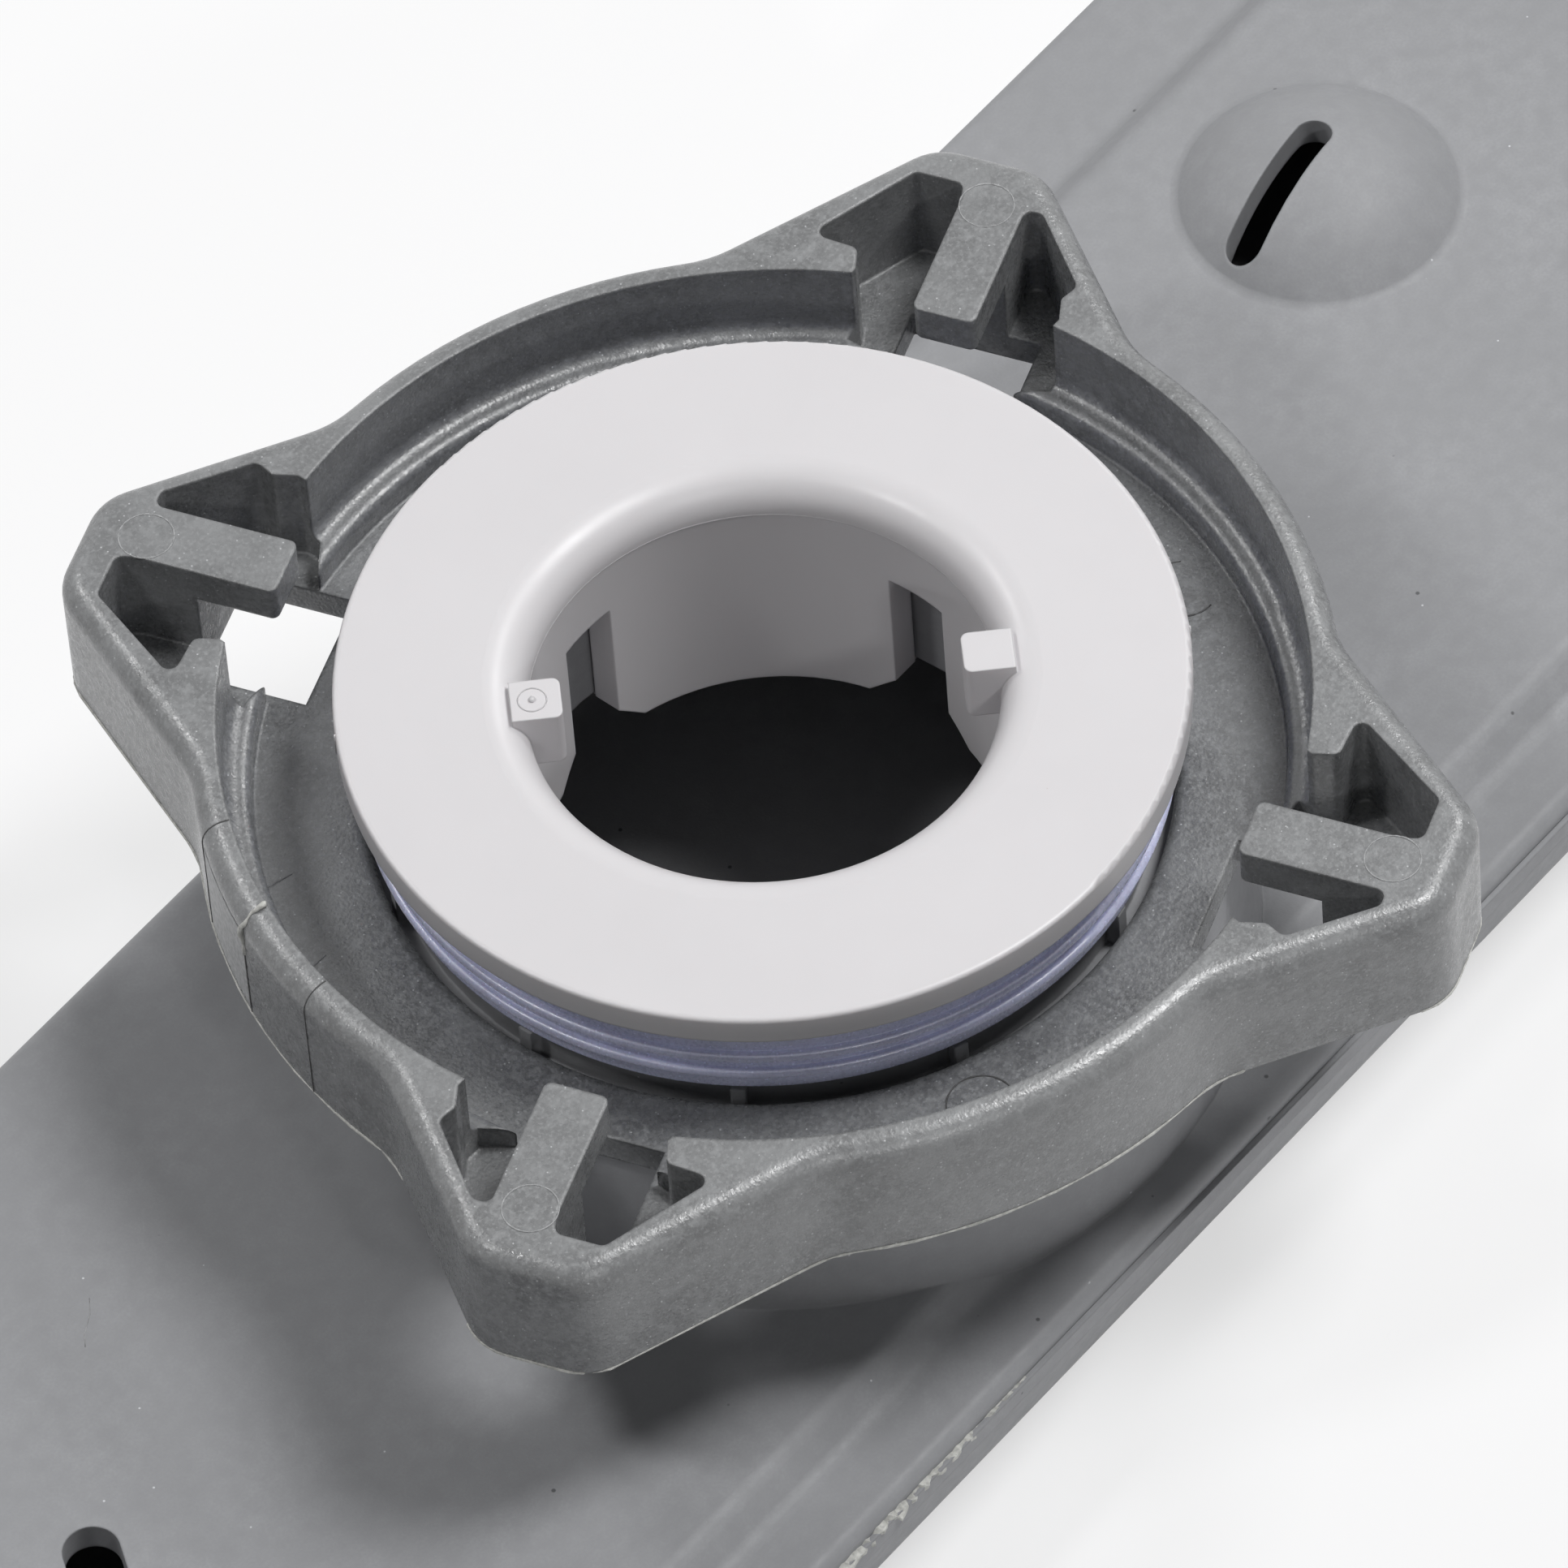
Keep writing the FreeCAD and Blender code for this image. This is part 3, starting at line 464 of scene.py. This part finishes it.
def add_weld_flash():
    """Torn pale flash on the near seam's left half, fading out at both ends."""
    start = -64.0
    finish = -13.5
    pitch = 0.35
    fade_in = 8
    fade_out = 40
    inner_inset = 0.45 * MM
    outer_inset = 0.25 * MM
    outer_thickness = Vector((0, 0, 0.25 * MM))
    inner_thickness = Vector((0, 0, 0.6 * MM))
    near = -arm_edge
    count = int((finish - start) / pitch)
    draw = random.Random(8)
    vertices = []
    for step in range(count + 1):
        x = (start + (finish - start) * step / count) * MM
        fade = min(1.0, step / fade_in, (count - step) / fade_out)
        width = draw.uniform(0.10, 0.55) * fade * MM
        inner_level = seam_level + draw.uniform(0.0, 0.35) * fade * MM
        outer_x = x + draw.uniform(-0.1, 0.1) * MM
        outer_level = seam_level + draw.uniform(-0.25, 0.15) * MM
        inner = Vector((x, near + inner_inset, inner_level))
        outer = Vector((outer_x, near + outer_inset - width, outer_level))
        vertices += [inner, outer, outer - outer_thickness, inner - inner_thickness]
    faces = []
    for step in range(count):
        for side in range(4):
            other = (side + 1) % 4
            faces.append((step * 4 + side, step * 4 + other,
                          step * 4 + 4 + other, step * 4 + 4 + side))
    faces.append((0, 1, 2, 3))
    faces.append(tuple(count * 4 + side for side in (3, 2, 1, 0)))
    add_mesh("weld_flash_0", vertices, faces, pale_flash, "arm", smooth=False)


def add_scratches():
    """Two hairlines on the upper shell, their points in millimetres."""
    routes = {
        "scratch_near": [(-29.3, -25.1, 11.95), (-28.6, -25.7, 11.9), (-27.8, -26.4, 11.85)],
        "scratch_far": [(-45.8, 14.7, 13.4), (-46.7, 13.9, 13.4),
                        (-48.0, 13.2, 13.4), (-48.6, 12.6, 13.4)],
    }
    for name, points in routes.items():
        path = [Vector(point) * MM for point in points]
        add_bead(name, path, 0.03 * MM, thin_line, "arm")


def add_bush_marks():
    """Gate scar on one key, the core's witness line and two parting steps on the flange."""
    key_middle = polar(13.4 * MM, gate_turn, flange_top)
    add_bead("gate_ring", ring(key_middle, 0.85 * MM, 24), 0.05 * MM, bush_plastic, "arm",
             closed=True)
    dot = [key_middle + Vector((0, 0, height * MM)) for height in (-0.1, 0.0, 0.12)]
    add_bead("gate_dot", dot, 0.22 * MM, bush_plastic, "arm")
    core_middle = Vector((0, 0, flange_top - lead_in))
    add_bead("core_line", ring(core_middle, bore_radius, 96), 0.035 * MM, bush_plastic, "arm",
             closed=True)
    for index, degrees in enumerate(parting_turns):
        path = [polar(flange_radius + 0.01 * MM, degrees, flange_top - depth * MM)
                for depth in (0.15, 0.8, 1.9)]
        add_bead("parting_step_%d" % index, path, 0.06 * MM, bush_plastic, "arm")


add_witness_lines()
add_torn_flash()
add_floor_lines()
add_insert_facet()
add_ejector_marks()
add_lower_flash()
add_weld_flash()
add_scratches()
add_bush_marks()


def aim(thing, position, target, roll=0.0):
    """Stand a lamp or a camera at a position, looking at a target."""
    forward = (target - position).normalized()
    right = forward.cross(Vector((0, 0, 1))).normalized()
    down = forward.cross(right)
    turn = math.radians(roll)
    across = right * math.cos(turn) + down * math.sin(turn)
    upright = across.cross(forward)
    rotation = Matrix((across, upright, -forward)).transposed()
    thing.matrix_world = Matrix.Translation(position) @ rotation.to_4x4()


def around(target, azimuth, elevation, distance):
    """A point at a distance from the target, its direction in degrees."""
    level = distance * math.cos(math.radians(elevation))
    return target + polar(level, azimuth, distance * math.sin(math.radians(elevation)))


# The photo's camera, fitted to the circles of the hub and the arm's straight edges
camera_azimuth = -136.879
camera_elevation = 52.546
camera_roll = 4.745
camera_distance = 976.46 * MM
camera_target = Vector((-4.26, -5.03, 35.0)) * MM


def add_camera():
    data = bpy.data.cameras.new("camera")
    data.sensor_width = 36.0
    data.lens = 387.57
    data.clip_start = 0.05
    data.clip_end = 20.0
    camera = bpy.data.objects.new("camera", data)
    bpy.context.scene.collection.objects.link(camera)
    position = around(camera_target, camera_azimuth, camera_elevation, camera_distance)
    aim(camera, position, camera_target, roll=camera_roll)
    bpy.context.scene.camera = camera


# Lamps: degrees round from the camera, elevation, width in metres and power in watts
lamps = {
    "lamp_front": (20, 34, 0.05, 0.45),
    "lamp_right": (97, 64, 0.22, 2.75),
    "lamp_right_back": (140, 44, 0.14, 1.00),
    "lamp_left_back": (-125, 46, 0.14, 0.85),
    "lamp_left": (-76, 56, 0.10, 0.95),
}
lamp_distance = 0.70
lamp_target = Vector((0, 0, 20 * MM))


def add_lamp(name, turn, elevation, width, power):
    data = bpy.data.lights.new(name, "AREA")
    data.shape = "DISK"
    data.size = width
    data.energy = power
    lamp = bpy.data.objects.new(name, data)
    bpy.context.scene.collection.objects.link(lamp)
    position = around(lamp_target, camera_azimuth + turn, elevation, lamp_distance)
    aim(lamp, position, lamp_target)


def background_rays(tree):
    """One for the camera's rays and for those in gloss and through clear things, else zero."""
    path = tree.nodes.new("ShaderNodeLightPath")
    rays = path.outputs["Is Camera Ray"]
    for name in ("Is Glossy Ray", "Is Transmission Ray"):
        either = tree.nodes.new("ShaderNodeMath")
        either.operation = "MAXIMUM"
        tree.links.new(rays, either.inputs[0])
        tree.links.new(path.outputs[name], either.inputs[1])
        rays = either.outputs[0]
    return rays


def make_floor_white():
    """Pale and matte, with a share of plain white where it serves as the background."""
    material = bpy.data.materials.new("floor_white")
    material.use_nodes = True
    tree = material.node_tree
    surface = tree.nodes["Principled BSDF"]
    surface.inputs["Base Color"].default_value = (0.93, 0.93, 0.94, 1)
    surface.inputs["Roughness"].default_value = 0.9
    white = tree.nodes.new("ShaderNodeEmission")
    share = tree.nodes.new("ShaderNodeMath")
    share.operation = "MULTIPLY"
    share.inputs[1].default_value = 0.62
    tree.links.new(background_rays(tree), share.inputs[0])
    blend = tree.nodes.new("ShaderNodeMixShader")
    tree.links.new(share.outputs[0], blend.inputs[0])
    tree.links.new(surface.outputs[0], blend.inputs[1])
    tree.links.new(white.outputs[0], blend.inputs[2])
    tree.links.new(blend.outputs[0], tree.nodes["Material Output"].inputs["Surface"])
    return material


def add_floor():
    """A pale floor that shows white to the camera and keeps the object's soft shadow."""
    half = 1.5
    level = -0.2 * MM
    corners = [(-half, -half, level), (half, -half, level), (half, half, level), (-half, half, level)]
    mesh = bpy.data.meshes.new("floor")
    mesh.from_pydata(corners, [], [(0, 1, 2, 3)])
    mesh.materials.append(make_floor_white())
    floor = bpy.data.objects.new("floor", mesh)
    bpy.context.scene.collection.objects.link(floor)


def add_world(strength):
    """White to the eye, in gloss and through clear things; a plain soft light elsewhere."""
    world = bpy.data.worlds.new("studio")
    bpy.context.scene.world = world
    world.use_nodes = True
    tree = world.node_tree
    tree.nodes.clear()
    output = tree.nodes.new("ShaderNodeOutputWorld")
    plain = tree.nodes.new("ShaderNodeBackground")
    plain.inputs["Color"].default_value = (0.97, 0.98, 1.0, 1)
    plain.inputs["Strength"].default_value = strength
    white = tree.nodes.new("ShaderNodeBackground")
    white.inputs["Color"].default_value = (1, 1, 1, 1)
    white.inputs["Strength"].default_value = 1.0
    blend = tree.nodes.new("ShaderNodeMixShader")
    tree.links.new(background_rays(tree), blend.inputs[0])
    tree.links.new(plain.outputs[0], blend.inputs[1])
    tree.links.new(white.outputs[0], blend.inputs[2])
    tree.links.new(blend.outputs[0], output.inputs["Surface"])


add_camera()
for name, settings in lamps.items():
    add_lamp(name, *settings)
add_floor()
add_world(0.025)
bpy.context.scene.view_settings.view_transform = "Standard"
